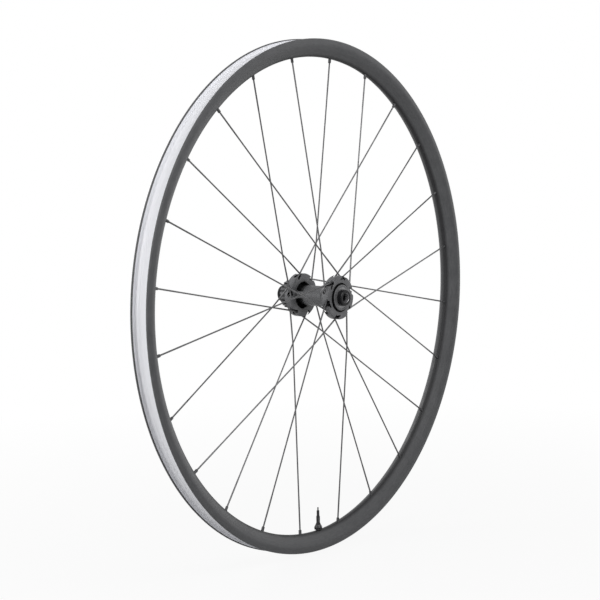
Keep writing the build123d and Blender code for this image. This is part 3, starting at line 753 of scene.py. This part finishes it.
def capOutline(side, raceFace):
    c = capSizes
    tip = side * c["face"]
    head = raceFace + side * c["headGap"]
    axleEnd = raceFace + side * c["axleReach"]
    socket = axleEnd + side * c["endGap"]
    sleeveEnd = axleEnd - side * c["sleeveLength"]
    ring = sleeveEnd + side * c["ringInset"]
    inner, outer = ring - side * c["grooveHalf"], ring + side * c["grooveHalf"]
    corners = [
        (c["bore"], tip - side * c["boreEdge"], 0.2), (c["bore"] + c["boreEdge"], tip, 0.2),
        (c["radius"] - c["edge"], tip, 0.3), (c["radius"], tip - side * c["edge"], 0.3),
        (c["radius"], head, 0.15), (c["lip"], head, 0), (c["lip"], raceFace, 0), (c["socket"], raceFace, 0),
        (c["socket"], socket, 0), (c["sleeve"], socket, 0), (c["sleeve"], outer, 0), (c["groove"], outer, 0),
        (c["groove"], inner, 0), (c["sleeve"], inner, 0), (c["sleeve"], sleeveEnd, 0), (c["bore"], sleeveEnd, 0),
    ]
    return closedLoop(roundedOutline(corners))


for name, side, raceFace in (("right", -1, capSizes["rightRace"]), ("left", 1, capSizes["leftRace"])):
    cap = turnedPiece(f"{name}CapSkin", capOutline(side, raceFace), capSizes["segments"], capFinish)
    dress(cap, "axle_set", "cap_alloy", f"{name}_end_cap")
print("end caps made")


# Valve: turned pieces with a thread and knurls, stood on the rim's bed

valveSizes = {"stem": 2.9, "end": 2.5, "endFrom": 8.4, "top": 17.0, "foot": -16.85, "bore": 1.6, "pitch": 0.75,
              "threadDepth": 0.3, "nut": 5.0, "nutTop": 3.2, "nutLow": 0.85, "nutHigh": 7.2, "nutCone": 3.6,
              "nutBore": 2.95, "nutRecess": 4.65, "recessTop": 1.61, "nutRidges": 40, "knurlDepth": 0.3,
              "coreHead": 1.8, "coreSide": 1.55, "coreFoot": 8.0, "coreTop": 19.4, "pinBore": 0.88, "pin": 0.8,
              "pinTop": 28.5, "tip": 1.7, "tipLow": 19.5, "tipHigh": 24.5, "tipRidges": 20, "tipDepth": 0.15,
              "segments": 240}


def valvePiece(name, corners, body, node, segments, spacing=2.0, ridges=None):
    # Ridges are (starts, turns per millimetre, depth, from, to, least radius)
    outline = stretched(closedLoop(roundedOutline(corners)), spacing)
    piece = turnedPiece(name, outline, segments, valveFinish)
    if ridges:
        starts, slant, depth, low, high, least = ridges
        runTree(piece, ridgeTree, {"Starts": starts, "Slant": slant / mm, "Depth": depth * mm, "From": low * mm,
                                   "To": high * mm, "Least Radius": least * mm, "Finish": valveFinish})
    piece.data.transform(Matrix.Translation(valvePlace * mm) @ Matrix.Rotation(pi / 2, 4, "X"))
    dress(piece, body, "valve_alloy", node)


def makeValve():
    v = valveSizes
    stem = [(v["bore"], v["foot"], 0), (v["stem"], v["foot"], 0), (v["stem"], v["endFrom"], 0.2),
            (v["end"], v["endFrom"], 0), (v["end"], v["top"], 0.25), (v["bore"], v["top"], 0)]
    valvePiece("valveStemSkin", stem, "wheel", "valve_stem", 64, 0.12,
               (1, 1 / v["pitch"], v["threadDepth"], v["endFrom"] + 0.3, v["top"] - 0.35, v["end"] - 0.1))
    shoulder = v["nutHigh"] - v["nutCone"]
    nut = [(v["nutRecess"], v["nutLow"], 0), (v["nut"], v["nutLow"], 0.12), (v["nut"], shoulder, 0.5),
           (v["nutTop"], v["nutHigh"], 0.25), (v["nutBore"], v["nutHigh"], 0), (v["nutBore"], v["recessTop"], 0),
           (v["nutRecess"], v["recessTop"], 0)]
    valvePiece("lockNutSkin", nut, "wheel", "valve_lock_nut", v["segments"], 0.3,
               (v["nutRidges"], 0.0, v["knurlDepth"], v["nutLow"] + 0.35, shoulder - 0.3, v["nut"] - 0.1))
    core = [(v["pinBore"], v["coreFoot"], 0), (v["coreSide"], v["coreFoot"], 0), (v["coreSide"], v["top"], 0),
            (v["coreHead"], v["top"], 0.1), (v["coreHead"], v["coreTop"], 0.25), (v["pinBore"], v["coreTop"], 0)]
    valvePiece("valveCoreSkin", core, "wheel", "valve_core", 48)
    pin = [(0, v["coreFoot"], 0), (v["pin"], v["coreFoot"], 0), (v["pin"], v["pinTop"], 0.3), (0, v["pinTop"], 0)]
    valvePiece("valvePinSkin", pin, "wheel", "valve_pin", 32)
    tip = [(v["pinBore"], v["tipLow"], 0), (v["tip"], v["tipLow"], 0.2), (v["tip"], v["tipHigh"], 0.35),
           (v["pinBore"], v["tipHigh"], 0)]
    valvePiece("tipNutSkin", tip, "valve_tip", "valve_tip_nut", 120, 0.3,
               (v["tipRidges"], 0.0, v["tipDepth"], v["tipLow"] + 0.35, v["tipHigh"] - 0.6, v["tip"] - 0.05))


makeValve()
print("valve made")


# Solids that keep their own mesh get their finish

nodeFinishes = {
    "hub_shell": hubFinish, "axle": axleFinish, "valve_base": rubberFinish, "valve_o_ring": rubberFinish,
}
for side in ("left", "right"):
    nodeFinishes.update({
        f"{side}_dust_ring": ringFinish, f"{side}_cap_ring": rubberFinish,
        f"{side}_bearing_inner_race": steelFinish, f"{side}_bearing_outer_race": steelFinish,
        f"{side}_bearing_balls": steelFinish, f"{side}_bearing_cage": cageFinish,
        f"{side}_bearing_outer_seal": rubberFinish, f"{side}_bearing_inner_seal": rubberFinish,
    })
for name, finish in nodeFinishes.items():
    for slot in cadNodes[name].material_slots:
        slot.material = finish
print("solids finished")


# Floor, light and camera

studio = {"floorSize": 14.0, "floorColour": (0.5, 0.5, 0.5), "floorWhite": 0.9, "fadeFrom": 0.2, "fadeTo": 1.1,
          "floorGap": 0.0002, "ambient": 0.15}
# Name, place, size and power of each lamp
lamps = [("nearSide", (-0.3, -1.2, 0.95), 0.9, 15), ("leftSide", (-2.0, 0.5, 0.6), 1.3, 26),
         ("rightSide", (2.2, -0.4, 0.5), 1.4, 9), ("farSide", (0.2, 1.5, 0.65), 0.9, 12)]


def backgroundFlag(tree):
    path = addNode(tree, "ShaderNodeLightPath").outputs
    seen = mathNode(tree, "MAXIMUM", path["Is Camera Ray"], path["Is Glossy Ray"])
    return mathNode(tree, "MAXIMUM", seen, path["Is Transmission Ray"])


def makeFloor():
    half = studio["floorSize"] / 2
    low = cadBox[0].z - studio["floorGap"]
    corners = [(-half, -half, low), (half, -half, low), (half, half, low), (-half, half, low)]
    floor = newPiece("floor", corners, faces=[(0, 1, 2, 3)])
    finish, tree, shader = newFinish("paleFloor", studio["floorColour"], 0.8, specular=0.1)
    glow = addNode(tree, "ShaderNodeEmission", None, {"Color": (1, 1, 1, 1), "Strength": 1.0})
    away = addNode(tree, "ShaderNodeVectorMath", {"operation": "LENGTH"}, {0: objectSpot(tree)}).outputs["Value"]
    white = spread(tree, away, studio["fadeFrom"], studio["fadeTo"], studio["floorWhite"], 1.0)
    share = mathNode(tree, "MULTIPLY", backgroundFlag(tree), white)
    mix = addNode(tree, "ShaderNodeMixShader", None, {0: share, 1: shader.outputs[0], 2: glow.outputs[0]})
    tree.links.new(mix.outputs[0], tree.nodes["Material Output"].inputs["Surface"])
    floor.data.materials.append(finish)


def makeWorld():
    world = bpy.data.worlds.new("studioRoom")
    world.use_nodes = True
    tree = world.node_tree
    lift = mathNode(tree, "MULTIPLY", backgroundFlag(tree), 1.0 - studio["ambient"])
    strength = mathNode(tree, "ADD", lift, studio["ambient"])
    room = tree.nodes["Background"]
    room.inputs["Color"].default_value = (1, 1, 1, 1)
    tree.links.new(strength, room.inputs["Strength"])
    bpy.context.scene.world = world


def makeLamp(name, place, size, power):
    light = bpy.data.lights.new(name, "AREA")
    light.shape = "SQUARE"
    light.size = size
    light.energy = power
    lamp = bpy.data.objects.new(name, light)
    lamp.location = place
    lamp.visible_camera = False
    lamp.rotation_euler = (-Vector(place)).to_track_quat("-Z", "Y").to_euler()
    bpy.context.scene.collection.objects.link(lamp)


cameraSizes = {"azimuth": -52.03, "elevation": 1.673, "roll": 1.116, "distance": 2.1598, "slideRight": -0.02955,
               "slideUp": 0.08055, "lens": 104.516, "shiftX": 0.015, "shiftY": -0.1163, "turn": 3.52}


def makeCamera():
    c = cameraSizes
    azimuth, elevation, roll = (radians(c[key]) for key in ("azimuth", "elevation", "roll"))
    back = Vector((sin(azimuth) * cos(elevation), -cos(azimuth) * cos(elevation), sin(elevation)))
    right = Vector((cos(azimuth), sin(azimuth), 0))
    up = back.cross(right)
    place = back * c["distance"] + right * c["slideRight"] + up * c["slideUp"]
    leanRight = right * cos(roll) + up * sin(roll)
    leanUp = up * cos(roll) - right * sin(roll)
    stand = Matrix((leanRight, leanUp, back)).transposed().to_4x4()
    stand.translation = place
    lens = bpy.data.cameras.new("photoCamera")
    lens.sensor_width = 36
    lens.lens = c["lens"]
    lens.shift_x = c["shiftX"]
    lens.shift_y = c["shiftY"]
    camera = bpy.data.objects.new("photoCamera", lens)
    camera.matrix_world = Matrix.Rotation(radians(c["turn"]), 4, "Y") @ stand
    bpy.context.scene.collection.objects.link(camera)
    bpy.context.scene.camera = camera


makeFloor()
makeWorld()
for lamp in lamps:
    makeLamp(*lamp)
makeCamera()
bpy.context.scene.view_settings.view_transform = "Standard"
print("studio made")
